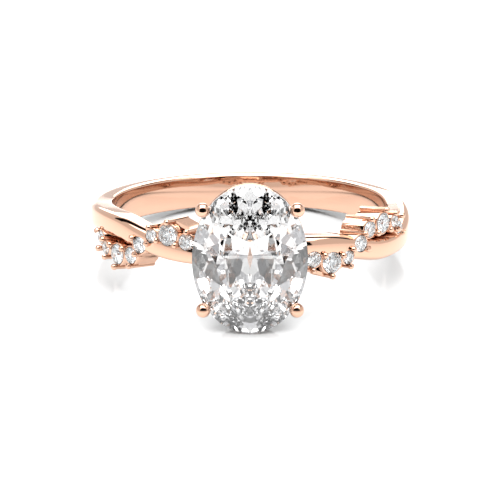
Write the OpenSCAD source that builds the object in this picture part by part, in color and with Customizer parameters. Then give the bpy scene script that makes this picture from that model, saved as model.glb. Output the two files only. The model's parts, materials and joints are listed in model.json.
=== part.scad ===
// Twisted shank engagement ring with an oval centre stone and a vine of small round stones.
// The ring is described upright in its own terms: the finger hole runs along Z, the centre stone
// faces -Y, and angles are counted from -Y towards +X. The two sides are one another's half turn
// about the Y axis. At the end everything is tilted about X, because a ring laid on its side rests
// on the edge of its band and on the gallery rail under its stone.

/* [Finger hole and band] */
// Radius of the finger hole
bore_r = 8.45; // [8.3:0.05:8.6]
// Thickness of the band in the radial direction
band_t = 1.38; // [1.3:0.02:1.5]
// Width of the band at the back of the finger
band_w = 2.1; // [1.9:0.1:2.4]
// Rounding of the band's outer edges
band_edge = 0.5; // [0.3:0.05:0.55]
// Outer radius of the strand that carries the small stones
carrier_r = 9.25; // [9:0.05:9.4]

/* [Centre stone] */
// Width of the oval stone, along the band
oval_w = 6.5; // [6.2:0.1:6.8]
// Length of the oval stone, along the finger
oval_l = 8.5; // [8.2:0.1:8.8]
// Distance from the finger axis to the underside of the stone's girdle
oval_seat_r = 11.17; // [11.1:0.01:11.3]
// Thickness of the girdle
oval_girdle = 0.12; // [0.06:0.02:0.2]
// Height of the crown above the girdle
oval_crown = 0.9; // [0.7:0.05:1]
// Depth of the pavilion below the girdle
oval_pavilion = 2.58; // [2.4:0.02:2.6]

/* [Prongs of the centre stone] */
// Distance of the ball tips from the middle, along the band
ball_x = 2.63; // [2.55:0.01:2.7]
// Distance of the ball tips from the middle, along the finger
ball_z = 2.88; // [2.8:0.01:2.95]
// Distance of the ball tips from the finger axis
ball_y = 11.4; // [11.3:0.02:11.5]
// Radius of a ball tip
ball_r = 0.41; // [0.35:0.01:0.45]
// Radius of a prong's stem
stem_r = 0.34; // [0.28:0.02:0.38]
// Distance of the prongs' feet from the middle, along the band
foot_x = 1.75; // [1.7:0.05:1.8]
// Distance of the prongs' feet from the middle, along the finger
foot_z = 2; // [1.9:0.05:2.1]
// Height of the prongs' feet above the finger hole
foot_lift = 0.5; // [0.4:0.05:0.6]
// Radius of the wire of the gallery rail under the stone
gallery_wire = 0.2; // [0.16:0.01:0.26]
// Depth of the gallery rail below the stone's girdle
gallery_drop = 0.95; // [0.85:0.05:1.05]
// Radius of the wire of the base rail that joins the feet to the strands
base_wire = 0.34; // [0.3:0.02:0.38]

/* [Small stones] */
// Distance from the finger axis to the underside of a small stone's girdle
small_seat_r = 9.76; // [9.7:0.02:9.84]
// Wall of a setting outside its stone
collet_wall = 0.1; // [0.08:0.01:0.14]
// Width of a setting at the finger hole, as part of its width at the stone
collet_taper = 0.86; // [0.8:0.02:0.9]
// Radius of a small ball tip
bead_r = 0.19; // [0.16:0.01:0.22]
// Distance of the small ball tips from the finger axis
bead_y = 9.92; // [9.86:0.02:9.98]
// Radius of a small prong's stem
post_r = 0.16; // [0.12:0.01:0.18]
// Angle by which the small prongs lean towards the head on their way down to the finger hole
post_lean = 4; // [0:0.5:5]

// Height of a small stone's crown, as part of its diameter
small_crown = 0.15; // [0.13:0.01:0.17]
// Thickness of a small stone's girdle, as part of its diameter
small_girdle = 0.03; // [0.02:0.01:0.04]
// Depth of a small stone's pavilion, as part of its diameter
small_pavilion = 0.43; // [0.41:0.01:0.44]
// Radius of the light hole behind a small stone, as part of the stone's diameter
light_hole = 0.24; // [0.18:0.02:0.28]

/* [Fit] */
// Gap between a stone and the metal that holds it
stone_gap = 0.04; // [0.03:0.01:0.08]

/* [Hidden] */

band_r = bore_r + band_t;
// Depth to which the metal reaches into the finger hole before the hole is cut. Each kind of piece
// has its own, so that no two of their faces lie on one another.
loop_in = bore_r - 0.35;
carrier_in = bore_r - 0.22;
collet_in = bore_r - 0.3;
post_in = bore_r - 0.26;
hole_in = bore_r - 0.6;
// The gallery rail's middle line lies inside the stone's outline, the base rail's outside the feet
gallery_inset_w = 0.22;
gallery_inset_l = 0.28;
base_spread = 1.27;
// Rounding of the outer edges of the strand that carries the small stones
carrier_edge = 0.2;
rose = "#dba38a";
clear = "#e8eef2";

// The plain strand and the band behind it: angle, middle along the finger, half width
PLAIN = [
    [-8.5, 0.32, 0.5], [8, 0.28, 0.56], [20, 0.22, 0.62], [31, 0.05, 0.66], [41, -0.28, 0.69],
    [52, -0.64, 0.67], [64, -0.7, 0.64], [77, -0.52, 0.74], [92, -0.2, 0.93],
    [108, -0.03, band_w / 2], [130, 0, band_w / 2], [180, 0, band_w / 2]
];

// The strand under the small stones: angle, middle along the finger, half width
CARRIER = [
    [-11.2, -0.32, 0.34], [8, -0.34, 0.38], [20, -0.5, 0.44], [29, -0.74, 0.5], [36, -0.55, 0.42],
    [41, 0.05, 0.44], [46, 0.68, 0.46], [53, 0.86, 0.5], [61, 0.74, 0.46], [68, 0.5, 0.42],
    [78, 0.42, 0.46], [90, 0.3, 0.5]
];

// The small stones of one side: angle, place along the finger, diameter
SMALL = [
    [21.9, -0.5, 0.92], [28.89, -0.805, 1.22], [35.57, -0.63, 0.78], [41.1, 0.04, 0.96],
    [45.5, 0.78, 0.96], [53, 0.94, 1.2], [61.1, 0.825, 0.8], [65.3, 0.3, 0.78]
];

// The ball tips between them: angle, place along the finger
BEADS = [
    [21.4, -1.13], [25.72, -0.298], [28.6, -1.58], [32.8, -0.44], [35.98, -1.142], [37, -0.17],
    [43.9, -0.32], [42.5, 0.6], [45.5, 1.39], [49, 0.47], [53.8, 1.71], [56.6, 0.46],
    [61.86, 0.316], [60.34, 1.317], [65.8, 1], [67, -0.03]
];

// Gallery rail: half width, half length and distance from the finger axis of its middle line
gallery_w = oval_w / 2 - gallery_inset_w;
gallery_l = oval_l / 2 - gallery_inset_l;
gallery_y = oval_seat_r - gallery_drop;

// Tilt at which the rounded back edge of the band and the lower end of the gallery rail touch one
// flat surface
rest_reach = gallery_y + band_r - band_edge;
rest_drop = gallery_l - (band_w / 2 - band_edge);
rest_swell = (band_edge - gallery_wire) / norm([rest_reach, rest_drop]);
lie_tilt = atan2(rest_drop, rest_reach) - asin(rest_swell);

function at(angle, r, z) = [r * sin(angle), -r * cos(angle), z];

// Smooth value of one column of a table at a given angle
function row(t, x, i = 0) = i >= len(t) - 2 || x < t[i + 1][0] ? i : row(t, x, i + 1);
function rise(t, i, c) =
    let(a = max(i - 1, 0), b = min(i + 1, len(t) - 1))
    (t[b][c] - t[a][c]) / (t[b][0] - t[a][0]);
function value(t, x, c) =
    let(i = row(t, x), h = t[i + 1][0] - t[i][0], u = (x - t[i][0]) / h)
    t[i][c] * (2 * u ^ 3 - 3 * u ^ 2 + 1) + rise(t, i, c) * h * (u ^ 3 - 2 * u ^ 2 + u)
    + t[i + 1][c] * (3 * u ^ 2 - 2 * u ^ 3) + rise(t, i + 1, c) * h * (u ^ 3 - u ^ 2);

// Closed skin over equal rings of points, with flat ends unless the rings close on themselves
module skin(rings, closed = false) {
    n = len(rings[0]);
    m = len(rings);
    last = closed ? m : m - 1;
    sides = [for (i = [0:last - 1], j = [0:n - 1])
        let(a = i * n, b = ((i + 1) % m) * n, k = (j + 1) % n)
        each [[a + j, a + k, b + k], [a + j, b + k, b + j]]];
    ends = closed ? [] : [[for (j = [n - 1:-1:0]) j], [for (j = [0:n - 1]) (m - 1) * n + j]];
    polyhedron([for (ring = rings) each ring], concat(sides, ends));
}

// Cross-section of a strand: square towards the finger, rounded outside
function strand_section(half, mid, inner, outer, edge, steps) = concat(
    [[inner, mid + half], [inner, mid - half]],
    [for (i = [0:steps]) let(a = -90 + 90 * i / steps)
        [outer - edge + edge * cos(a), mid - half + edge + edge * sin(a)]],
    [for (i = [0:steps]) let(a = 90 * i / steps)
        [outer - edge + edge * cos(a), mid + half - edge + edge * sin(a)]]
);

module half_turn_pair() {
    children();
    rotate([0, 180, 0]) children();
}

// One plain strand and its half of the back band, from its end under the centre stone to the back
module plain_half() {
    steps = 31;
    first = PLAIN[0][0];
    past = PLAIN[len(PLAIN) - 1][0];
    skin([for (i = [0:steps])
        let(a = first + (past - first) * i / steps, half = value(PLAIN, a, 2), mid = value(PLAIN, a, 1))
        [for (p = strand_section(half, mid, loop_in, band_r, band_edge, 3)) at(a, p[0], p[1])]]);
}

module carrier() {
    steps = 26;
    first = CARRIER[0][0];
    past = CARRIER[len(CARRIER) - 1][0];
    skin([for (i = [0:steps])
        let(a = first + (past - first) * i / steps, half = value(CARRIER, a, 2), mid = value(CARRIER, a, 1))
        [for (p = strand_section(half, mid, carrier_in, carrier_r, carrier_edge, 2)) at(a, p[0], p[1])]]);
}

// Round bar between two points, each end a ring square to the given direction
module bar(p, q, rp, rq, sides) {
    along = (q - p) / norm(q - p);
    across = cross(along, [0, 0, 1]);
    u = norm(across) < 0.01 ? [1, 0, 0] : across / norm(across);
    v = cross(along, u);
    skin([for (e = [[p, rp], [q, rq]])
        [for (i = [0:sides - 1]) let(a = -360 * i / sides) e[0] + e[1] * (u * cos(a) + v * sin(a))]]);
}

// Frame of one small stone: Z points outwards and X along the band
module on_band(angle, r, z) {
    translate(at(angle, r, z)) rotate([90, 0, angle]) children();
}

// Setting of one small stone, with its top at the girdle
module collet(s) {
    r = s[2] / 2 + collet_wall;
    bar(at(s[0] - post_lean, collet_in, s[1]), at(s[0], small_seat_r, s[1]), r * collet_taper, r, 10);
}

module small_prong(b) {
    bar(at(b[0] - post_lean, post_in, b[1]), at(b[0], bead_y, b[1]), post_r, post_r, 6);
    on_band(b[0], bead_y, b[1]) sphere(bead_r, $fn = 8);
}

// Oval wire ring round the pavilion
module rail(half_w, half_l, y, wire) {
    turns = 24;
    skin([for (i = [0:turns - 1]) let(a = -360 * i / turns, out = [cos(a), 0, sin(a)])
        [for (j = [0:4]) let(b = 360 * j / 5)
            [half_w * cos(a), -y, half_l * sin(a)] + wire * (out * cos(b) + [0, sin(b), 0])]],
        closed = true);
}

// Four prongs, the gallery rail under the girdle and the base rail on the strands
module head() {
    foot_y = bore_r + foot_lift;
    rail(gallery_w, gallery_l, gallery_y, gallery_wire);
    rail(foot_x * base_spread, foot_z * base_spread, foot_y, base_wire);
    for (sx = [-1, 1], sz = [-1, 1]) {
        bar([sx * foot_x, -foot_y, sz * foot_z], [sx * ball_x, -ball_y, sz * ball_z],
            stem_r, stem_r, 8);
        translate([sx * ball_x, -ball_y, sz * ball_z]) sphere(ball_r, $fn = 12);
    }
}

// Room for a small stone and the light hole behind it
module small_room(s) {
    r = s[2] / 2 + stone_gap;
    depth = s[2] * small_pavilion + stone_gap * 1.4;
    top = s[2] * (small_girdle + small_crown) + stone_gap;
    on_band(s[0], small_seat_r, s[1]) {
        rotate_extrude($fn = 12)
            polygon([[0, -depth], [r, -stone_gap / 2], [r, top], [0, top]]);
        translate([0, 0, hole_in - small_seat_r])
            cylinder(h = small_seat_r - hole_in, r = s[2] * light_hole, $fn = 6);
    }
}

// Strands, settings and head as one body. The straight steps of the sweep fall a little short of
// the true outer width, so the body is brought to it.
module openwork() {
    resize([2 * band_r, 0, 0]) difference() {
        union() {
            head();
            half_turn_pair() {
                plain_half();
                carrier();
                for (s = SMALL) collet(s);
                for (b = BEADS) small_prong(b);
            }
        }
        half_turn_pair() for (s = SMALL) small_room(s);
        oval(stone_gap);
    }
}

module metal() {
    difference() {
        openwork();
        cylinder(h = 2 * oval_l, r = bore_r, center = true, $fn = 128);
    }
}

// Corner points of a brilliant cut of radius 1: table, crown, girdle, pavilion and point
function ring_of(n, r, h, shift = 0) = [for (i = [0:n - 1]) let(a = 360 * (i + shift) / n)
    [r * cos(a), r * sin(a), h]];
function brilliant(girdle_n, table, crown, girdle, pavilion) = let(
    kite = 0.76,
    kite_h = girdle + crown * (1 - kite * cos(22.5)) / (1 - table),
    lower = 0.3,
    lower_h = -pavilion * (1 - lower * cos(22.5)))
    concat(ring_of(8, table, girdle + crown), ring_of(8, kite, kite_h, 0.5),
        ring_of(girdle_n, 1, girdle), ring_of(girdle_n, 1, 0),
        ring_of(8, lower, lower_h, 0.5), [[0, 0, -pavilion]]);

module cut_stone(points) {
    hull() polyhedron(points, [[for (i = [0:len(points) - 1]) i]]);
}

// The centre stone, grown by a gap on every side where it serves as the room for the stone
module oval(gap = 0) {
    w = oval_w / 2 + gap;
    l = oval_l / 2 + gap;
    translate([0, -oval_seat_r + gap / 2, 0]) rotate([90, 0, 0]) scale([w, l, 1])
        cut_stone(brilliant(32, 0.58, oval_crown + gap, oval_girdle + gap, oval_pavilion + gap));
}

module small_stone(s) {
    on_band(s[0], small_seat_r, s[1]) scale([s[2] / 2, s[2] / 2, s[2]])
        cut_stone(brilliant(16, 0.56, small_crown, small_girdle, small_pavilion));
}

module ring_metal() { color(rose) rotate([-lie_tilt, 0, 0]) metal(); }
module centre_stone() { color(clear) rotate([-lie_tilt, 0, 0]) oval(); }
module right_stone(i) { color(clear) rotate([-lie_tilt, 0, 0]) small_stone(SMALL[i - 1]); }
module left_stone(i) {
    color(clear) rotate([-lie_tilt, 0, 0]) rotate([0, 180, 0]) small_stone(SMALL[i - 1]);
}

ring_metal();
centre_stone();
right_stone(1);  // right_stone_1
right_stone(2);  // right_stone_2
right_stone(3);  // right_stone_3
right_stone(4);  // right_stone_4
right_stone(5);  // right_stone_5
right_stone(6);  // right_stone_6
right_stone(7);  // right_stone_7
right_stone(8);  // right_stone_8
left_stone(1);  // left_stone_1
left_stone(2);  // left_stone_2
left_stone(3);  // left_stone_3
left_stone(4);  // left_stone_4
left_stone(5);  // left_stone_5
left_stone(6);  // left_stone_6
left_stone(7);  // left_stone_7
left_stone(8);  // left_stone_8
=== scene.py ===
import json
import math

import bmesh
import bpy
from bpy.props import FloatProperty, FloatVectorProperty, PointerProperty
from mathutils import Matrix, Vector

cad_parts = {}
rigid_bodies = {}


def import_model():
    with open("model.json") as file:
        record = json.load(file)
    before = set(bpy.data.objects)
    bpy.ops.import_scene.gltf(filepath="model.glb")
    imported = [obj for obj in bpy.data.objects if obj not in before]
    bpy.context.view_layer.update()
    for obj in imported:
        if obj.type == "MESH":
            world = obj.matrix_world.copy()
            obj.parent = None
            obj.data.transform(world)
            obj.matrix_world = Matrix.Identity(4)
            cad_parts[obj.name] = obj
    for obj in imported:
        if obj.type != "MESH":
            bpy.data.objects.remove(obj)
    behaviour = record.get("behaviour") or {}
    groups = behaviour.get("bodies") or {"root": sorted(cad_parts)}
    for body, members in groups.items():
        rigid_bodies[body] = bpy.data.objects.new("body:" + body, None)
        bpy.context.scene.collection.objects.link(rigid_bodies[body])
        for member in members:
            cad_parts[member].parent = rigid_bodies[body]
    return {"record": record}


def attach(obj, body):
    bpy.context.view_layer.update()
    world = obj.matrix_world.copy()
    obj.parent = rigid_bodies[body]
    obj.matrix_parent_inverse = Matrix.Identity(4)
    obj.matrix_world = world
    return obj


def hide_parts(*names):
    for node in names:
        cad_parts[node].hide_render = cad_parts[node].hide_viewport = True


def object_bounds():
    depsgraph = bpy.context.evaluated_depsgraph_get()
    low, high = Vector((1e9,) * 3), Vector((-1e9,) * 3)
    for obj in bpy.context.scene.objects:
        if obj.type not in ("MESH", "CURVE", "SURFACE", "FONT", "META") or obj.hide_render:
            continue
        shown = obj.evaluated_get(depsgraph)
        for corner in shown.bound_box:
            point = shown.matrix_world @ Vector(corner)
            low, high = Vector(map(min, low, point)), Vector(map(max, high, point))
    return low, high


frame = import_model()
CAD_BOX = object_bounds()

bl_info = {
    "name": "Twisted Shank Ring",
    "version": (1, 0, 0),
    "blender": (4, 5, 0),
    "location": "View3D > Sidebar > Ring",
    "description": "Dresses a twisted shank ring in polished rose gold and brilliant cut diamonds",
    "category": "Add Mesh",
}

# The ring is made upright in millimetres: the finger hole runs along Z, the centre stone faces -Y,
# and angles are counted in degrees from -Y towards +X. At the end every piece is laid down and
# turned into metres.
BORE = frame["record"]["mounts"][0]
BORE_R = BORE["dims"]["r_mm"]
LIE_TILT = math.atan2(BORE["axis"][1], BORE["axis"][2])
MM = 0.001
LAY_DOWN = Matrix.Rotation(-LIE_TILT, 4, "X") @ Matrix.Scale(MM, 4)
UPRIGHT = Matrix.Identity(4)
HALF_TURN = Matrix.Rotation(math.pi, 4, "Y")

# A plain strand and its half of the back band: angle, middle along the finger, half width
STRAND = [
    (-8.5, 0.32, 0.5), (8, 0.28, 0.56), (20, 0.22, 0.62), (31, 0.05, 0.66), (41, -0.28, 0.69),
    (52, -0.64, 0.67), (64, -0.7, 0.64), (77, -0.52, 0.74), (92, -0.2, 0.93), (108, -0.03, 1.05),
    (130, 0, 1.05), (180, 0, 1.05),
]
# The strand under the small stones, ending inside the band: angle, middle, half width
CARRIER = [
    (-11.2, -0.32, 0.34), (8, -0.34, 0.38), (20, -0.5, 0.44), (29, -0.74, 0.5), (36, -0.55, 0.42),
    (41, 0.05, 0.44), (46, 0.68, 0.46), (53, 0.86, 0.5), (61, 0.74, 0.46), (68, 0.5, 0.42),
    (78, 0.42, 0.46), (90, 0.3, 0.5), (102, 0.2, 0.5),
]
# The small stones of one side: angle, place along the finger, diameter
STONES = [
    (21.9, -0.5, 0.92), (28.89, -0.805, 1.22), (35.57, -0.63, 0.78), (41.1, 0.04, 0.96),
    (45.5, 0.78, 0.96), (53, 0.94, 1.2), (61.1, 0.825, 0.8), (65.3, 0.3, 0.78),
]
# The ball tips between them: angle, place along the finger
TIPS = [
    (21.4, -1.13), (25.72, -0.298), (28.6, -1.58), (32.8, -0.44), (35.98, -1.142), (37, -0.17),
    (43.9, -0.32), (42.5, 0.6), (45.5, 1.39), (49, 0.47), (53.8, 1.71), (56.6, 0.46),
    (61.86, 0.316), (60.34, 1.317), (65.8, 1), (67, -0.03),
]
# Tips on the outer edge of the vine that a thin wall joins, counted from 0
WEBS = [(0, 2), (2, 4), (7, 8), (10, 13), (13, 14)]

# How far below the finger hole's radius the pieces reach before the hole is cut
SETTING_DEPTH = 0.3
PRONG_DEPTH = 0.26
WEB_DEPTH = 0.18
HOLE_DEPTH = 0.6
# How far the plain strands and the stone strands stay outside the cut hole, so that neither its
# facets nor each other's mark them
PLAIN_CLEAR = 0.003
CARRIER_CLEAR = 0.006
# How much the strands' outer face rises in its middle
DOME = 0.03
# The stone strand's outline before it is narrowed: half width, rounding at the finger hole
CARRIER_HALF = 0.5
CARRIER_FOOT = 0.07
# The tongue at a band half's end: degrees it reaches into the other half, how much slimmer it is
TONGUE_TURN = 1
TONGUE_STEP = 0.06
# Rounding of a small setting's rim, and how far above its girdle a stone's room reaches
RIM_ROUND = 0.04
ROOM_ABOVE = 0.4
# The walls between small prongs: thickness, how far below the small girdles they end
WEB_WALL = 0.2
WEB_DROP = 0.3

# Large prongs: sideways, from the finger axis and along the finger, for the foot and for the ball
PRONG_FOOT = (1.75, BORE_R + 0.5, 2)
PRONG_BALL = (2.63, 11.4, 2.88)
# Gallery rail: how far inside the oval it runs on its two axes, how far below the girdle
GALLERY_INSET = (0.22, 0.28)
GALLERY_DROP = 0.95
# Base rail: its two half axes, how far it lies from the finger hole
BASE_AXES = (2.22, 2.54)
BASE_RISE = 0.5

# How finely the pieces are divided along or round themselves
BAND_STEPS = 190
CARRIER_STEPS = 110
HOLE_STEPS = 256
SETTING_STEPS = 48
SMALL_PRONG_STEPS = 24
LARGE_PRONG_STEPS = 40
GALLERY_STEPS = 128
BASE_STEPS = 96
OVAL_STEPS = 72
SMALL_STONE_STEPS = 48
# Edges of the metal that are sharper than this stay crisp
CRISP_EDGE = math.radians(32)
# Points closer than this are one point after the parts are joined, and points this close to the
# middle of the ring's back lie on the line where the two halves of the band meet
SAME_POINT = 1e-4
ON_SEAM = 1e-3

# Main facets on the crown of the centre stone, and on crown and pavilion of a small stone
OVAL_MAINS = 12
SMALL_MAINS = 8
# Proportions of the brilliant cuts, as parts of a stone's radius
OVAL_TABLE = 0.58
SMALL_TABLE = 0.56
STAR_REACH = 0.76
LOWER_REACH = 0.3
SMALL_CROWN = 0.3
SMALL_GIRDLE = 0.06
SMALL_PAVILION = 0.86
LIGHT_HOLE = 0.48
# Rows of pavilion facets of the oval from the girdle down: facets, shift, slope, depth of the row
PAVILION_ROWS = [(32, 0.5, 47, 0.5), (22, 0, 41.5, 0.85), (14, 0.5, 35.5, 1.25)]

# Soft boxes, in metres: name, place, size
SOFT_BOXES = [
    ("top_box", (0, 0, 0.5), (0.7, 0.5)),
    ("back_box", (0, 0.6, 0.2), (0.36, 0.3)),
    ("front_box", (0, -0.35, 0.55), (1.2, 0.22)),
]
# Black cards in front of the stones and behind the metal, in metres: size, place, facing
STONE_CARD = ((0.015, 0.008), (0, -0.019, 0.006), (0, -1, 0.2))
BACK_STRIP = ((1.4, 0.2), (0, 0.36, 0.42), (0, 0.36, 0.42))
# Grey strips in front of and above the ring that draw the stones' facets: how high each stands as
# seen from the ring, in degrees, and their distance and size in metres
STRIP_RISES = (8, 30, 52, 74)
STRIP_REACH = 0.1
STRIP_SIZE = (0.3, 0.014)
# Grey card that lies in front of the ring, in metres: size, distance, height above the floor
FLOOR_CARD_SIZE = (0.1, 0.03)
FLOOR_CARD_REACH = 0.035
FLOOR_CARD_LIFT = 0.0003


class RingSizes(bpy.types.PropertyGroup):
    """Sizes of the ring that a user would change"""

    band_thickness: FloatProperty(
        name="Band thickness", description="Radial thickness of the band and plain strands",
        default=1.38 * MM, unit="LENGTH")
    edge_round: FloatProperty(
        name="Edge rounding", description="Rounding of the outer edges of band and strands",
        default=0.5 * MM, unit="LENGTH")
    inner_round: FloatProperty(
        name="Inner edge rounding", description="Rounding of the band's edges at the finger hole",
        default=0.14 * MM, unit="LENGTH")
    carrier_radius: FloatProperty(
        name="Stone strand radius", description="Outer radius of the strand under the small stones",
        default=9.25 * MM, unit="LENGTH")
    carrier_round: FloatProperty(
        name="Stone strand rounding", description="Rounding of the stone strand's outer edges",
        default=0.2 * MM, unit="LENGTH")
    small_seat: FloatProperty(
        name="Small seat radius", description="Distance of the small girdles from the finger axis",
        default=9.76 * MM, unit="LENGTH")
    setting_wall: FloatProperty(
        name="Setting wall", description="Wall of a small setting outside its stone",
        default=0.1 * MM, unit="LENGTH")
    small_tip: FloatProperty(
        name="Small ball tip", description="Radius of the ball tips that hold the small stones",
        default=0.19 * MM, unit="LENGTH")
    small_tip_reach: FloatProperty(
        name="Small tip distance", description="Distance of the small ball tips from the axis",
        default=9.92 * MM, unit="LENGTH")
    small_stem: FloatProperty(
        name="Small prong stem", description="Radius of the stems of the small prongs",
        default=0.16 * MM, unit="LENGTH")
    stem_lean: FloatProperty(
        name="Setting lean", description="How far the small settings lean towards the head",
        default=math.radians(4), subtype="ANGLE")
    oval_width: FloatProperty(
        name="Oval width", description="Width of the centre stone", default=6.5 * MM,
        unit="LENGTH")
    oval_length: FloatProperty(
        name="Oval length", description="Length of the centre stone", default=8.5 * MM,
        unit="LENGTH")
    oval_seat: FloatProperty(
        name="Oval seat radius", description="Distance of the oval girdle from the finger axis",
        default=11.17 * MM, unit="LENGTH")
    oval_girdle: FloatProperty(
        name="Oval girdle", description="Thickness of the centre stone's girdle",
        default=0.12 * MM, unit="LENGTH")
    oval_crown: FloatProperty(
        name="Oval crown", description="Height of the centre stone's crown", default=0.9 * MM,
        unit="LENGTH")
    oval_pavilion: FloatProperty(
        name="Oval pavilion", description="Depth of the centre stone's pavilion",
        default=2.58 * MM, unit="LENGTH")
    large_tip: FloatProperty(
        name="Large ball tip", description="Radius of the ball tips that hold the centre stone",
        default=0.41 * MM, unit="LENGTH")
    large_stem: FloatProperty(
        name="Large prong stem", description="Radius of the stems of the large prongs",
        default=0.34 * MM, unit="LENGTH")
    gallery_wire: FloatProperty(
        name="Gallery wire", description="Radius of the wire under the centre stone",
        default=0.2 * MM, unit="LENGTH")
    base_wire: FloatProperty(
        name="Base wire", description="Radius of the wire that joins the large prongs' feet",
        default=0.34 * MM, unit="LENGTH")
    fit_gap: FloatProperty(
        name="Fit gap", description="Gap between a stone and the metal that holds it",
        default=0.03 * MM, unit="LENGTH")


class RingFinish(bpy.types.PropertyGroup):
    """Colours and surface of the ring"""

    gold: FloatVectorProperty(
        name="Rose gold", description="Colour of the polished metal", subtype="COLOR", size=3,
        default=(0.83, 0.515, 0.372), min=0, max=1)
    # Painted shade: a darker, paler copy of the rose gold. Every ray but the camera's sees it, so
    # the metal looks darker where it shows again in the metal and through the stones
    shaded_gold_in_reflections: FloatVectorProperty(
        name="Rose gold in reflections", description="Colour of the metal where it is seen again in"
        " metal or stones", subtype="COLOR", size=3, default=(0.62, 0.42, 0.32), min=0, max=1)
    polish: FloatProperty(
        name="Polish", description="Roughness of the polished metal", default=0.05, min=0, max=1)
    floor: FloatVectorProperty(
        name="Floor", description="Colour of the pale floor", subtype="COLOR", size=3,
        default=(0.78, 0.78, 0.78), min=0, max=1)


class StageSettings(bpy.types.PropertyGroup):
    """Camera and light"""

    camera_distance: FloatProperty(
        name="Camera distance", description="Distance of the camera from the finger hole's centre",
        default=118 * MM, unit="LENGTH")
    camera_height: FloatProperty(
        name="Camera height", description="Angle of the camera above the finger hole's plane",
        default=math.radians(12.263), subtype="ANGLE")
    camera_pitch: FloatProperty(
        name="Camera pitch", description="Angle by which the camera looks down, seen upright",
        default=math.radians(13.242), subtype="ANGLE")
    focal_length: FloatProperty(
        name="Focal length", description="Focal length in mm on a 36 mm sensor", default=137.82)
    sky: FloatProperty(
        name="Surround", description="Brightness of the white surround", default=0.8, min=0)
    box_light: FloatProperty(
        name="Soft boxes", description="Brightness of the soft boxes", default=3, min=0)
    card_height: FloatProperty(
        name="Black card height", description="Height of the black card in front of the ring",
        default=19 * MM, unit="LENGTH")
    card_lift: FloatProperty(
        name="Black card lift", description="Height of the black card's lower edge above the floor",
        default=4.2 * MM, unit="LENGTH")
    card_width: FloatProperty(
        name="Black card width", description="Width of the black card in front of the ring",
        default=30 * MM, unit="LENGTH")
    card_distance: FloatProperty(
        name="Black card distance", description="Distance of the black card from the ring's middle",
        default=21 * MM, unit="LENGTH")


def mm(size):
    return size / MM


def at(angle, radius, z):
    """Point in the ring at an angle in degrees"""
    a = math.radians(angle)
    return Vector((radius * math.sin(a), -radius * math.cos(a), z))


def value(table, x, column):
    """Smooth value of one column of a table at an angle"""
    i = 0
    while i < len(table) - 2 and x >= table[i + 1][0]:
        i += 1

    def rise(k):
        a, b = max(k - 1, 0), min(k + 1, len(table) - 1)
        return (table[b][column] - table[a][column]) / (table[b][0] - table[a][0])

    h = table[i + 1][0] - table[i][0]
    u = (x - table[i][0]) / h
    return (table[i][column] * (2 * u ** 3 - 3 * u ** 2 + 1)
            + rise(i) * h * (u ** 3 - 2 * u ** 2 + u)
            + table[i + 1][column] * (3 * u ** 2 - 2 * u ** 3)
            + rise(i + 1) * h * (u ** 3 - u ** 2))


def arc(centre, radius, first, last, steps):
    """Points on an arc in the plane of an outline, angles in degrees"""
    turns = [math.radians(first + (last - first) * i / steps) for i in range(steps + 1)]
    return [(centre[0] + radius * math.cos(a), centre[1] + radius * math.sin(a)) for a in turns]


def strand_outline(half, inner, outer, edge, foot):
    """Radius and width of a strand's outline: rounded and slightly domed, softened at the finger"""
    side = arc((inner + foot, half - foot), foot, 180, 90, 4)
    side += arc((outer - edge - DOME, half - edge), edge, 90, 14, 7)
    top = [(outer - DOME * (z / (half - edge)) ** 2, z) for z in (half - edge, 0.3 * half)]
    upper = side + top
    return upper + [(r, -z) for r, z in reversed(upper)]


def swept(table, outline, half, steps, tongue=0):
    """An outline spun round the finger hole, then narrowed and shifted as the table says

    A tongue is how many degrees a slimmer end reaches on, into the piece that meets this one.
    """
    first, last = table[0][0], table[-1][0]
    bm = bmesh.new()
    aside = Matrix.Rotation(math.radians(first), 4, "Z")
    loop = [bm.verts.new(aside @ Vector((0, -r, z))) for r, z in outline]
    edges = [bm.edges.new((loop[i - 1], loop[i])) for i in range(len(loop))]
    spun = bmesh.ops.spin(
        bm, geom=loop + edges, cent=(0, 0, 0), axis=(0, 0, 1), angle=math.radians(last - first),
        steps=steps)
    end = [g for g in spun["geom_last"] if isinstance(g, bmesh.types.BMEdge)]
    bmesh.ops.edgeloop_fill(bm, edges=edges)
    cap = bmesh.ops.edgeloop_fill(bm, edges=end)["faces"]
    if tongue:
        bmesh.ops.inset_region(bm, faces=cap, thickness=TONGUE_STEP, use_even_offset=True)
        bmesh.ops.rotate(bm, verts=cap[0].verts[:], cent=(0, 0, 0),
                         matrix=Matrix.Rotation(math.radians(tongue), 3, "Z"))
    for v in bm.verts:
        angle = math.degrees(math.atan2(v.co.x, -v.co.y))
        if angle < first - 1:
            angle += 360
        width = value(table, angle, 2) / half
        v.co = at(angle, math.hypot(v.co.x, v.co.y), v.co.z * width + value(table, angle, 1))
    return bm


def lathed(outline, segments, place, closed=False):
    """Radius and height pairs spun round their own axis, every corner then moved with place"""
    bm = bmesh.new()
    loop = [bm.verts.new((r, 0, h)) for r, h in outline]
    edges = [bm.edges.new((loop[i - 1], loop[i])) for i in range(0 if closed else 1, len(loop))]
    bmesh.ops.spin(bm, geom=loop + edges, cent=(0, 0, 0), axis=(0, 0, 1), angle=2 * math.pi,
                   steps=segments, use_merge=True)
    bmesh.ops.remove_doubles(bm, verts=bm.verts, dist=1e-5)
    for v in bm.verts:
        v.co = place(v.co)
    return bm


def on_vine(angle, z, top, foot, lean):
    """Places a corner of a setting: x along the band, y along the finger, z from the axis"""
    def place(p):
        aside = angle - lean * max(top - p.z, 0) / (top - foot)
        return at(aside + math.degrees(p.x / p.z), p.z, z + p.y)
    return place


def between(start, end):
    """Places a corner of a bar whose own axis runs from start to end"""
    turn = (end - start).to_track_quat("Z", "Y")
    return lambda p: start + turn @ p


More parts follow.
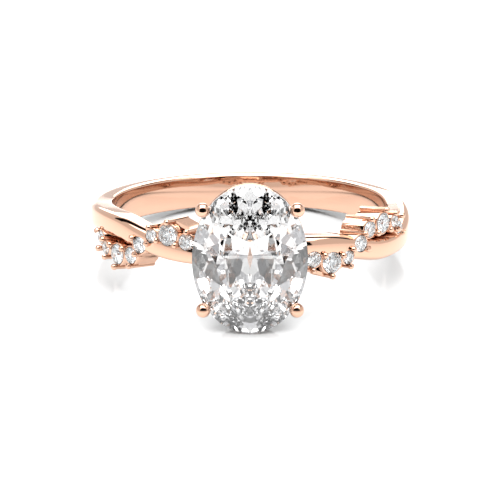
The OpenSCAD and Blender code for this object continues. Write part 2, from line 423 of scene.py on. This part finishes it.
def rail(half_w, half_l, y, wire, segments):
    """Oval wire ring round the centre stone"""
    def place(p):
        a = math.atan2(p.y, p.x)
        out = Vector((math.cos(a) / half_w, 0, math.sin(a) / half_l)).normalized()
        middle = Vector((half_w * math.cos(a), -y, half_l * math.sin(a)))
        return middle + out * (math.hypot(p.x, p.y) - 1) + Vector((0, -p.z, 0))
    return lathed(arc((1, 0), wire, 0, 337.5, 15), segments, place, closed=True)


def face_outward(bm):
    """Turns every face of a closed mesh outward"""
    bmesh.ops.recalc_face_normals(bm, faces=bm.faces)
    if bm.calc_volume(signed=True) < 0:
        bmesh.ops.reverse_faces(bm, faces=bm.faces)


def working_piece(name, bm, home):
    face_outward(bm)
    mesh = bpy.data.meshes.new(name)
    bm.to_mesh(mesh)
    bm.free()
    piece = bpy.data.objects.new(name, mesh)
    home.objects.link(piece)
    return piece


def soldered(parts, rooms):
    """One closed mesh made of overlapping parts, with the rooms for stones and finger cut out"""
    scene = bpy.context.scene
    joined = bpy.data.collections.new("joined parts")
    cut = bpy.data.collections.new("rooms")
    for home in (joined, cut):
        scene.collection.children.link(home)
    body = working_piece("body", parts[0], scene.collection)
    for bm in parts[1:]:
        working_piece("part", bm, joined)
    for bm in rooms:
        working_piece("room", bm, cut)
    for home, operation in ((joined, "UNION"), (cut, "DIFFERENCE")):
        if home.objects:
            step = body.modifiers.new(operation, "BOOLEAN")
            step.operand_type = "COLLECTION"
            step.collection = home
            step.operation = operation
            step.solver = "MANIFOLD"
    done = bpy.data.meshes.new_from_object(
        body.evaluated_get(bpy.context.evaluated_depsgraph_get()))
    bm = bmesh.new()
    bm.from_mesh(done)
    if not bm.faces:
        raise RuntimeError("the parts of the ring could not be joined")
    for piece in [body, *joined.objects, *cut.objects]:
        bpy.data.meshes.remove(piece.data)
    bpy.data.meshes.remove(done)
    bpy.data.collections.remove(joined)
    bpy.data.collections.remove(cut)
    bmesh.ops.remove_doubles(bm, verts=bm.verts, dist=SAME_POINT)
    bmesh.ops.dissolve_degenerate(bm, dist=SAME_POINT, edges=bm.edges)
    return bm


def finger_hole():
    bm = bmesh.new()
    bmesh.ops.create_cone(
        bm, cap_ends=True, segments=HOLE_STEPS, radius1=BORE_R, radius2=BORE_R, depth=20)
    return bm


def stone_room(sizes, stone):
    """Room for a small stone and the light hole behind it"""
    angle, z, dia = stone
    seat, gap = mm(sizes.small_seat), mm(sizes.fit_gap)
    foot = BORE_R - HOLE_DEPTH
    r = dia / 2 + gap
    hole = dia / 2 * LIGHT_HOLE
    ledge = seat - gap
    depth = dia / 2 * SMALL_PAVILION * (1 - LIGHT_HOLE)
    neck, top = ledge - depth, seat + ROOM_ABOVE
    outline = [(0, foot), (hole, foot), (hole, neck), (r, ledge), (r, top), (0, top)]
    place = on_vine(angle, z, neck, foot, math.degrees(sizes.stem_lean))
    return lathed(outline, SETTING_STEPS, place)


def setting(sizes, stone):
    """Round wall under a small stone, its rim level with the girdle"""
    angle, z, dia = stone
    seat, foot = mm(sizes.small_seat), BORE_R - SETTING_DEPTH
    r = dia / 2 + mm(sizes.setting_wall)
    outline = [(0, foot), (r * 0.86, foot), (r, seat - RIM_ROUND)]
    outline += arc((r - RIM_ROUND, seat - RIM_ROUND), RIM_ROUND, 30, 90, 2) + [(0, seat)]
    place = on_vine(angle, z, seat, foot, math.degrees(sizes.stem_lean))
    return lathed(outline, SETTING_STEPS, place)


def small_prong(sizes, tip):
    angle, z = tip
    top, foot = mm(sizes.small_tip_reach), BORE_R - PRONG_DEPTH
    ball, stem = mm(sizes.small_tip), mm(sizes.small_stem)
    neck = -math.degrees(math.acos(stem / ball))
    outline = [(0, foot), (stem, foot)] + arc((0, top), ball, neck, 90, 9)
    place = on_vine(angle, z, top, foot, math.degrees(sizes.stem_lean))
    return lathed(outline, SMALL_PRONG_STEPS, place)


def web(sizes, first, last):
    """Thin wall between two neighbouring small prongs on the outer edge"""
    reach = mm(sizes.small_tip_reach)
    top, foot = mm(sizes.small_seat) - WEB_DROP, BORE_R - WEB_DEPTH
    bm = bmesh.new()
    bmesh.ops.create_cube(bm, size=1)
    along = [e for e in bm.edges if abs(e.verts[0].co.x - e.verts[1].co.x) > 0.5]
    bmesh.ops.subdivide_edges(bm, edges=along, cuts=8, use_grid_fill=True)
    lean = math.degrees(sizes.stem_lean)
    (a0, z0), (a1, z1) = first, last
    run = Vector((math.radians(a1 - a0) * top, z1 - z0)).normalized()
    for v in bm.verts:
        u, w, radius = v.co.x + 0.5, v.co.y * WEB_WALL, foot + (v.co.z + 0.5) * (top - foot)
        angle = a0 + (a1 - a0) * u - math.degrees(run.y * w / radius)
        angle -= lean * (reach - radius) / (reach - foot)
        v.co = at(angle, radius, z0 + (z1 - z0) * u + run.x * w)
    return bm


def large_prong(sizes, side_x, side_z):
    foot, ball = [
        Vector((side_x * x, -y, side_z * z)) for x, y, z in (PRONG_FOOT, PRONG_BALL)]
    reach = (ball - foot).length
    stem, tip = mm(sizes.large_stem), mm(sizes.large_tip)
    outline = [(0, 0), (stem, 0), (stem * 0.94, reach * 0.5), (stem * 0.86, reach - tip * 1.1)]
    outline += arc((0, reach), tip, -42, 90, 14)
    return lathed(outline, LARGE_PRONG_STEPS, between(foot, ball))


def cut_plane(bm, p, q, r):
    """Grinds one facet through three points and keeps what lies towards the stone's middle"""
    normal = (q - p).cross(r - p).normalized()
    if normal.dot(p) < 0:
        normal = -normal
    cut = bmesh.ops.bisect_plane(
        bm, geom=bm.verts[:] + bm.edges[:] + bm.faces[:], dist=1e-5, plane_co=p, plane_no=normal,
        clear_outer=True)
    rim = [g for g in cut["geom_cut"] if isinstance(g, bmesh.types.BMEdge) and g.is_boundary]
    if rim:
        bmesh.ops.holes_fill(bm, edges=rim, sides=0)


def corner(radius, turn, height):
    a = math.radians(turn)
    return Vector((radius * math.cos(a), radius * math.sin(a), height))


def rough_stone(crown, girdle, pavilion, segments):
    """Cylinder of radius 1 round Z from which a stone is ground, girdle's underside at height 0"""
    bm = bmesh.new()
    bmesh.ops.create_cone(
        bm, cap_ends=True, segments=segments, radius1=1, radius2=1,
        depth=crown + girdle + pavilion,
        matrix=Matrix.Translation((0, 0, (crown + girdle - pavilion) / 2)))
    return bm


def grind_crown(bm, table, crown, girdle, mains):
    """Kites, stars and upper halves of a brilliant of radius 1"""
    step = 360 / mains
    top = girdle + crown
    star_top = girdle + crown / (1 - table) * (1 - STAR_REACH * math.cos(math.radians(step / 2)))
    for i in range(mains):
        turn = i * step
        half = turn + step / 2
        star = corner(STAR_REACH, half, star_top)
        cut_plane(bm, corner(STAR_REACH, half - step, star_top), corner(1, turn, girdle), star)
        cut_plane(bm, corner(table, turn, top), star, corner(table, turn + step, top))
        for side in (turn, turn + step):
            cut_plane(bm, star, corner(1, side, girdle), corner(1, half, girdle))


def grind_pavilion(bm, pavilion, mains):
    """Mains and lower halves of a round brilliant of radius 1"""
    step = 360 / mains
    lower = -pavilion * (1 - LOWER_REACH * math.cos(math.radians(step / 2)))
    for i in range(mains):
        turn = i * step
        half = turn + step / 2
        point = corner(LOWER_REACH, half, lower)
        cut_plane(bm, corner(LOWER_REACH, half - step, lower), corner(1, turn, 0), point)
        for side in (turn, turn + step):
            cut_plane(bm, point, corner(1, side, 0), corner(1, half, 0))


def grind_oval_row(bm, half_w, half_l, count, shift, slope, inset, depth):
    """Row of pavilion facets of one slope round an oval, each a given way in from its outline"""
    s = math.radians(slope)
    for i in range(count):
        a = math.radians(360 * (i + shift) / count)
        out = Vector((math.cos(a), math.sin(a), 0))
        reach = math.hypot(half_w * out.x, half_l * out.y) - inset
        along = Vector((-out.y, out.x, 0))
        down = out * math.cos(s) + Vector((0, 0, math.sin(s)))
        p = out * reach - Vector((0, 0, depth))
        cut_plane(bm, p, p + along, p + down)


def finished(name, bm, turn, material, sharp, nodes):
    """Lays a mesh down in the frame as a piece that stands for CAD nodes"""
    bm = bm.copy()
    face_outward(bm)
    bm.transform(LAY_DOWN @ turn)
    for f in bm.faces:
        f.smooth = sharp > 0
    for e in bm.edges:
        e.smooth = e.is_manifold and e.calc_face_angle() < sharp
    mesh = bpy.data.meshes.new(name)
    bm.to_mesh(mesh)
    bm.free()
    mesh.materials.append(material)
    piece = bpy.data.objects.new(name, mesh)
    bpy.context.scene.collection.objects.link(piece)
    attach(piece, "root")
    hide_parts(*nodes)


def metal_piece(name, bm, turn):
    finished(name, bm, turn, rose_gold(), CRISP_EDGE, ["ring_metal"])


def new_material(name):
    m = bpy.data.materials.new(name)
    m.use_nodes = True
    return m, m.node_tree.nodes, m.node_tree.links


def hand_polish():
    """Node group: the faint haze and unevenness of a hand polished metal"""
    if "Hand polish" in bpy.data.node_groups:
        return bpy.data.node_groups["Hand polish"]
    group = bpy.data.node_groups.new("Hand polish", "ShaderNodeTree")
    low = group.interface.new_socket("Roughness low", in_out="INPUT", socket_type="NodeSocketFloat")
    high = group.interface.new_socket(
        "Roughness high", in_out="INPUT", socket_type="NodeSocketFloat")
    low.default_value, high.default_value = 0.05, 0.1
    group.interface.new_socket("Roughness", in_out="OUTPUT", socket_type="NodeSocketFloat")
    group.interface.new_socket("Height", in_out="OUTPUT", socket_type="NodeSocketFloat")
    nodes, links = group.nodes, group.links
    given, result = nodes.new("NodeGroupInput"), nodes.new("NodeGroupOutput")
    place = nodes.new("ShaderNodeTexCoord")
    haze, unevenness = nodes.new("ShaderNodeTexNoise"), nodes.new("ShaderNodeTexNoise")
    haze.inputs["Scale"].default_value = 1500
    haze.inputs["Detail"].default_value = 4
    unevenness.inputs["Scale"].default_value = 700
    unevenness.inputs["Detail"].default_value = 1
    spread = nodes.new("ShaderNodeMapRange")
    spread.inputs["From Min"].default_value = 0.35
    spread.inputs["From Max"].default_value = 0.65
    links.new(place.outputs["Object"], haze.inputs["Vector"])
    links.new(place.outputs["Object"], unevenness.inputs["Vector"])
    links.new(haze.outputs["Fac"], spread.inputs["Value"])
    links.new(given.outputs["Roughness low"], spread.inputs["To Min"])
    links.new(given.outputs["Roughness high"], spread.inputs["To Max"])
    links.new(spread.outputs["Result"], result.inputs["Roughness"])
    links.new(unevenness.outputs["Fac"], result.inputs["Height"])
    return group


def rose_gold():
    if "Polished rose gold" in bpy.data.materials:
        return bpy.data.materials["Polished rose gold"]
    finish = bpy.context.scene.ring_finish
    m, nodes, links = new_material("Polished rose gold")
    surface = nodes["Principled BSDF"]
    surface.inputs["Metallic"].default_value = 1
    # Painted shade: the camera sees the lit rose gold, while reflections and views through the
    # stones see its darker, paler copy
    ray, colour = nodes.new("ShaderNodeLightPath"), nodes.new("ShaderNodeMix")
    colour.data_type = "RGBA"
    colour.inputs["A"].default_value = (*finish.shaded_gold_in_reflections, 1)
    colour.inputs["B"].default_value = (*finish.gold, 1)
    links.new(ray.outputs["Is Camera Ray"], colour.inputs["Factor"])
    links.new(colour.outputs["Result"], surface.inputs["Base Color"])
    polish = nodes.new("ShaderNodeGroup")
    polish.node_tree = hand_polish()
    polish.inputs["Roughness low"].default_value = finish.polish * 0.7
    polish.inputs["Roughness high"].default_value = finish.polish * 1.3
    dent = nodes.new("ShaderNodeBump")
    dent.inputs["Strength"].default_value = 0.12
    dent.inputs["Distance"].default_value = 0.02 * MM
    links.new(polish.outputs["Roughness"], surface.inputs["Roughness"])
    links.new(polish.outputs["Height"], dent.inputs["Height"])
    links.new(dent.outputs["Normal"], surface.inputs["Normal"])
    return m


def diamond(name, tint):
    if name in bpy.data.materials:
        return bpy.data.materials[name]
    m, nodes, _ = new_material(name)
    surface = nodes["Principled BSDF"]
    surface.inputs["Base Color"].default_value = (*tint, 1)
    surface.inputs["Roughness"].default_value = 0
    surface.inputs["IOR"].default_value = 2.42
    surface.inputs["Transmission Weight"].default_value = 1
    return m


def close_back(shank):
    """Takes out the edges where the two halves of the band meet, so that no line shows there"""
    seam = [e for e in shank.edges if all(abs(v.co.x) < ON_SEAM and v.co.y > 0 for v in e.verts)]
    bmesh.ops.dissolve_edges(shank, edges=seam, use_verts=True)


class AddShank(bpy.types.Operator):
    """Add the band with its plain strands and the strands under the small stones"""

    bl_idname = "ring.add_shank"
    bl_label = "Band and strands"

    def execute(self, context):
        sizes = context.scene.ring_sizes
        half = STRAND[-1][2]
        plain = strand_outline(half, BORE_R + PLAIN_CLEAR, BORE_R + mm(sizes.band_thickness),
                               mm(sizes.edge_round), mm(sizes.inner_round))
        slim = strand_outline(CARRIER_HALF, BORE_R + CARRIER_CLEAR, mm(sizes.carrier_radius),
                              mm(sizes.carrier_round), CARRIER_FOOT)
        parts, rooms = [], [finger_hole(), oval_stone(sizes, mm(sizes.fit_gap))]
        for turn in (UPRIGHT, HALF_TURN):
            pair = [swept(STRAND, plain, half, BAND_STEPS, TONGUE_TURN),
                    swept(CARRIER, slim, CARRIER_HALF, CARRIER_STEPS)]
            side_rooms = [stone_room(sizes, stone) for stone in STONES]
            for bm in pair + side_rooms:
                bm.transform(turn)
            parts += pair
            rooms += side_rooms
        shank = soldered(parts, rooms)
        close_back(shank)
        metal_piece("shank", shank, UPRIGHT)
        shank.free()
        return {"FINISHED"}


class AddVines(bpy.types.Operator):
    """Add the settings and ball-ended prongs of the small stones on both sides"""

    bl_idname = "ring.add_vines"
    bl_label = "Settings of the small stones"

    def execute(self, context):
        sizes = context.scene.ring_sizes
        parts = [setting(sizes, stone) for stone in STONES]
        parts += [small_prong(sizes, tip) for tip in TIPS]
        parts += [web(sizes, TIPS[a], TIPS[b]) for a, b in WEBS]
        vine = soldered(parts, [stone_room(sizes, stone) for stone in STONES] + [finger_hole()])
        metal_piece("vine_right", vine, UPRIGHT)
        metal_piece("vine_left", vine, HALF_TURN)
        vine.free()
        return {"FINISHED"}


def oval_stone(sizes, gap=0):
    """The centre stone, grown by a gap where it serves as its own room"""
    half_w, half_l = mm(sizes.oval_width) / 2 + gap, mm(sizes.oval_length) / 2 + gap
    crown, girdle = mm(sizes.oval_crown) + gap, mm(sizes.oval_girdle) + gap
    bm = rough_stone(crown, girdle, mm(sizes.oval_pavilion) + gap, OVAL_STEPS)
    grind_crown(bm, OVAL_TABLE, crown, girdle, OVAL_MAINS)
    bm.transform(Matrix.Diagonal((half_w, half_l, 1, 1)))
    inset = depth = 0
    for count, shift, slope, drop in PAVILION_ROWS:
        grind_oval_row(bm, half_w, half_l, count, shift, slope, inset, depth)
        inset += drop / math.tan(math.radians(slope))
        depth += drop
    bm.transform(Matrix.Translation((0, gap / 2 - mm(sizes.oval_seat), 0))
                 @ Matrix.Rotation(math.pi / 2, 4, "X"))
    return bm


class AddHead(bpy.types.Operator):
    """Add the four large prongs with the gallery rail and the base rail"""

    bl_idname = "ring.add_head"
    bl_label = "Head"

    def execute(self, context):
        sizes = context.scene.ring_sizes
        parts = [large_prong(sizes, x, z) for x in (-1, 1) for z in (-1, 1)]
        across = mm(sizes.oval_width) / 2 - GALLERY_INSET[0]
        along = mm(sizes.oval_length) / 2 - GALLERY_INSET[1]
        parts.append(rail(across, along, mm(sizes.oval_seat) - GALLERY_DROP,
                          mm(sizes.gallery_wire), GALLERY_STEPS))
        parts.append(rail(*BASE_AXES, BORE_R + BASE_RISE, mm(sizes.base_wire), BASE_STEPS))
        head = soldered(parts, [oval_stone(sizes, mm(sizes.fit_gap))])
        metal_piece("head", head, UPRIGHT)
        head.free()
        return {"FINISHED"}


class AddSmallStones(bpy.types.Operator):
    """Add the sixteen small round diamonds"""

    bl_idname = "ring.add_small_stones"
    bl_label = "Small stones"

    def execute(self, context):
        sizes = context.scene.ring_sizes
        cut = rough_stone(SMALL_CROWN, SMALL_GIRDLE, SMALL_PAVILION, SMALL_STONE_STEPS)
        grind_crown(cut, SMALL_TABLE, SMALL_CROWN, SMALL_GIRDLE, SMALL_MAINS)
        grind_pavilion(cut, SMALL_PAVILION, SMALL_MAINS)
        for name, turn in (("right", UPRIGHT), ("left", HALF_TURN)):
            for i, (angle, z, dia) in enumerate(STONES, 1):
                place = (Matrix.Translation(at(angle, mm(sizes.small_seat), z))
                         @ Matrix.Rotation(math.radians(angle), 4, "Z")
                         @ Matrix.Rotation(math.pi / 2, 4, "X") @ Matrix.Scale(dia / 2, 4))
                finished(f"{name}_diamond_{i}", cut, turn @ place,
                         diamond("Small diamond", (0.94, 0.985, 1)), 0, [f"{name}_stone_{i}"])
        cut.free()
        return {"FINISHED"}


class AddCentreStone(bpy.types.Operator):
    """Add the oval diamond"""

    bl_idname = "ring.add_centre_stone"
    bl_label = "Centre stone"

    def execute(self, context):
        bm = oval_stone(context.scene.ring_sizes)
        finished("centre_diamond", bm, UPRIGHT, diamond("Centre diamond", (1, 1, 1)), 0,
                 ["centre_stone"])
        bm.free()
        return {"FINISHED"}


def soft_box(name, place, size, brightness):
    """Area light at a place, facing the ring"""
    light = bpy.data.lights.new(name, "AREA")
    light.shape = "RECTANGLE"
    light.size, light.size_y = size
    light.energy = brightness * math.pi * size[0] * size[1]
    lamp = bpy.data.objects.new(name, light)
    bpy.context.scene.collection.objects.link(lamp)
    lamp.location = place
    lamp.rotation_euler = Vector(place).to_track_quat("Z", "Y").to_euler()


def panel(name, size, place, turn, material):
    """Flat rectangle of the stage"""
    bm = bmesh.new()
    bmesh.ops.create_grid(bm, x_segments=1, y_segments=1, size=0.5)
    bm.transform(Matrix.Translation(place) @ turn.to_matrix().to_4x4()
                 @ Matrix.Diagonal((*size, 1, 1)))
    mesh = bpy.data.meshes.new(name)
    bm.to_mesh(mesh)
    bm.free()
    mesh.materials.append(material)
    piece = bpy.data.objects.new(name, mesh)
    bpy.context.scene.collection.objects.link(piece)
    return piece


def dark_card(name, size, place, facing, material, in_stones):
    """Dark card that only shows in the metal or only through the stones"""
    card = panel(name, size, place, Vector(facing).to_track_quat("Z", "Y"), material)
    card.visible_camera = False
    card.visible_diffuse = False
    card.visible_shadow = False
    card.visible_glossy = not in_stones
    card.visible_transmission = in_stones


def plain_material(name, colour, rough, shine):
    m, nodes, _ = new_material(name)
    surface = nodes["Principled BSDF"]
    surface.inputs["Base Color"].default_value = (*colour, 1)
    surface.inputs["Roughness"].default_value = rough
    surface.inputs["Specular IOR Level"].default_value = shine
    return m


class AddStage(bpy.types.Operator):
    """Add the floor, the lights, the dark cards and the camera"""

    bl_idname = "ring.add_stage"
    bl_label = "Stage"

    def execute(self, context):
        scene = context.scene
        stage, finish = scene.ring_stage, scene.ring_finish
        ground = CAD_BOX[0][2]
        panel("floor", (1.6, 1.6), (0, 0, ground), Vector((0, 0, 1)).to_track_quat("Z", "Y"),
              plain_material("Pale floor", finish.floor, 0.12, 0.12))
        black = plain_material("Black card", (0.004, 0.004, 0.004), 1, 0)
        high = stage.card_height
        dark_card("front_card", (stage.card_width, high),
                  (0, -stage.card_distance, ground + stage.card_lift + high / 2), (0, -1, 0), black,
                  False)
        dark_card("stone_card", *STONE_CARD, black, True)
        grey = plain_material("Grey card", (0.28, 0.28, 0.29), 1, 0)
        for i, rise in enumerate(STRIP_RISES, 1):
            a = math.radians(rise)
            place = (0, -STRIP_REACH * math.cos(a), STRIP_REACH * math.sin(a))
            dark_card(f"grey_strip_{i}", STRIP_SIZE, place, place, grey, True)
        dark_card("floor_card", FLOOR_CARD_SIZE, (0, -FLOOR_CARD_REACH, ground + FLOOR_CARD_LIFT),
                  (0, 0, 1), grey, True)
        dark_card("back_strip", *BACK_STRIP, black, False)
        for name, place, size in SOFT_BOXES:
            soft_box(name, place, size, stage.box_light)

        camera = bpy.data.objects.new("camera", bpy.data.cameras.new("camera"))
        scene.collection.objects.link(camera)
        camera.data.sensor_width = 36
        camera.data.lens = stage.focal_length
        camera.data.clip_start = 0.001
        camera.data.clip_end = 10
        height = stage.camera_height + LIE_TILT
        camera.location = (0, -stage.camera_distance * math.cos(height),
                           stage.camera_distance * math.sin(height))
        camera.rotation_euler = (math.pi / 2 - stage.camera_pitch - LIE_TILT, 0, 0)
        scene.camera = camera

        world = bpy.data.worlds.new("studio")
        scene.world = world
        world.use_nodes = True
        surround = world.node_tree.nodes["Background"]
        surround.inputs["Color"].default_value = (1, 1, 1, 1)
        surround.inputs["Strength"].default_value = stage.sky
        scene.view_settings.view_transform = "Standard"
        scene.cycles.max_bounces = 32
        scene.cycles.transmission_bounces = 32
        scene.cycles.glossy_bounces = 12
        scene.cycles.caustics_reflective = False
        scene.cycles.use_denoising = True
        return {"FINISHED"}


class RingPanel(bpy.types.Panel):
    """Lists the pieces of the ring in the sidebar"""

    bl_idname = "VIEW3D_PT_twisted_ring"
    bl_label = "Twisted shank ring"
    bl_space_type = "VIEW_3D"
    bl_region_type = "UI"
    bl_category = "Ring"

    def draw(self, context):
        for step in STEPS:
            self.layout.operator(step.bl_idname)
        for group in (context.scene.ring_sizes, context.scene.ring_finish,
                      context.scene.ring_stage):
            for name in group.__annotations__:
                self.layout.prop(group, name)


STEPS = [AddShank, AddVines, AddHead, AddSmallStones, AddCentreStone, AddStage]
GROUPS = [RingSizes, RingFinish, StageSettings]


def register():
    for item in GROUPS + STEPS + [RingPanel]:
        bpy.utils.register_class(item)
    bpy.types.Scene.ring_sizes = PointerProperty(type=RingSizes)
    bpy.types.Scene.ring_finish = PointerProperty(type=RingFinish)
    bpy.types.Scene.ring_stage = PointerProperty(type=StageSettings)


def unregister():
    del bpy.types.Scene.ring_sizes, bpy.types.Scene.ring_finish, bpy.types.Scene.ring_stage
    for item in reversed(GROUPS + STEPS + [RingPanel]):
        bpy.utils.unregister_class(item)


def main():
    register()
    bpy.ops.ring.add_shank()
    bpy.ops.ring.add_vines()
    bpy.ops.ring.add_head()
    bpy.ops.ring.add_small_stones()
    bpy.ops.ring.add_centre_stone()
    bpy.ops.ring.add_stage()


if __name__ == "__main__":
    main()
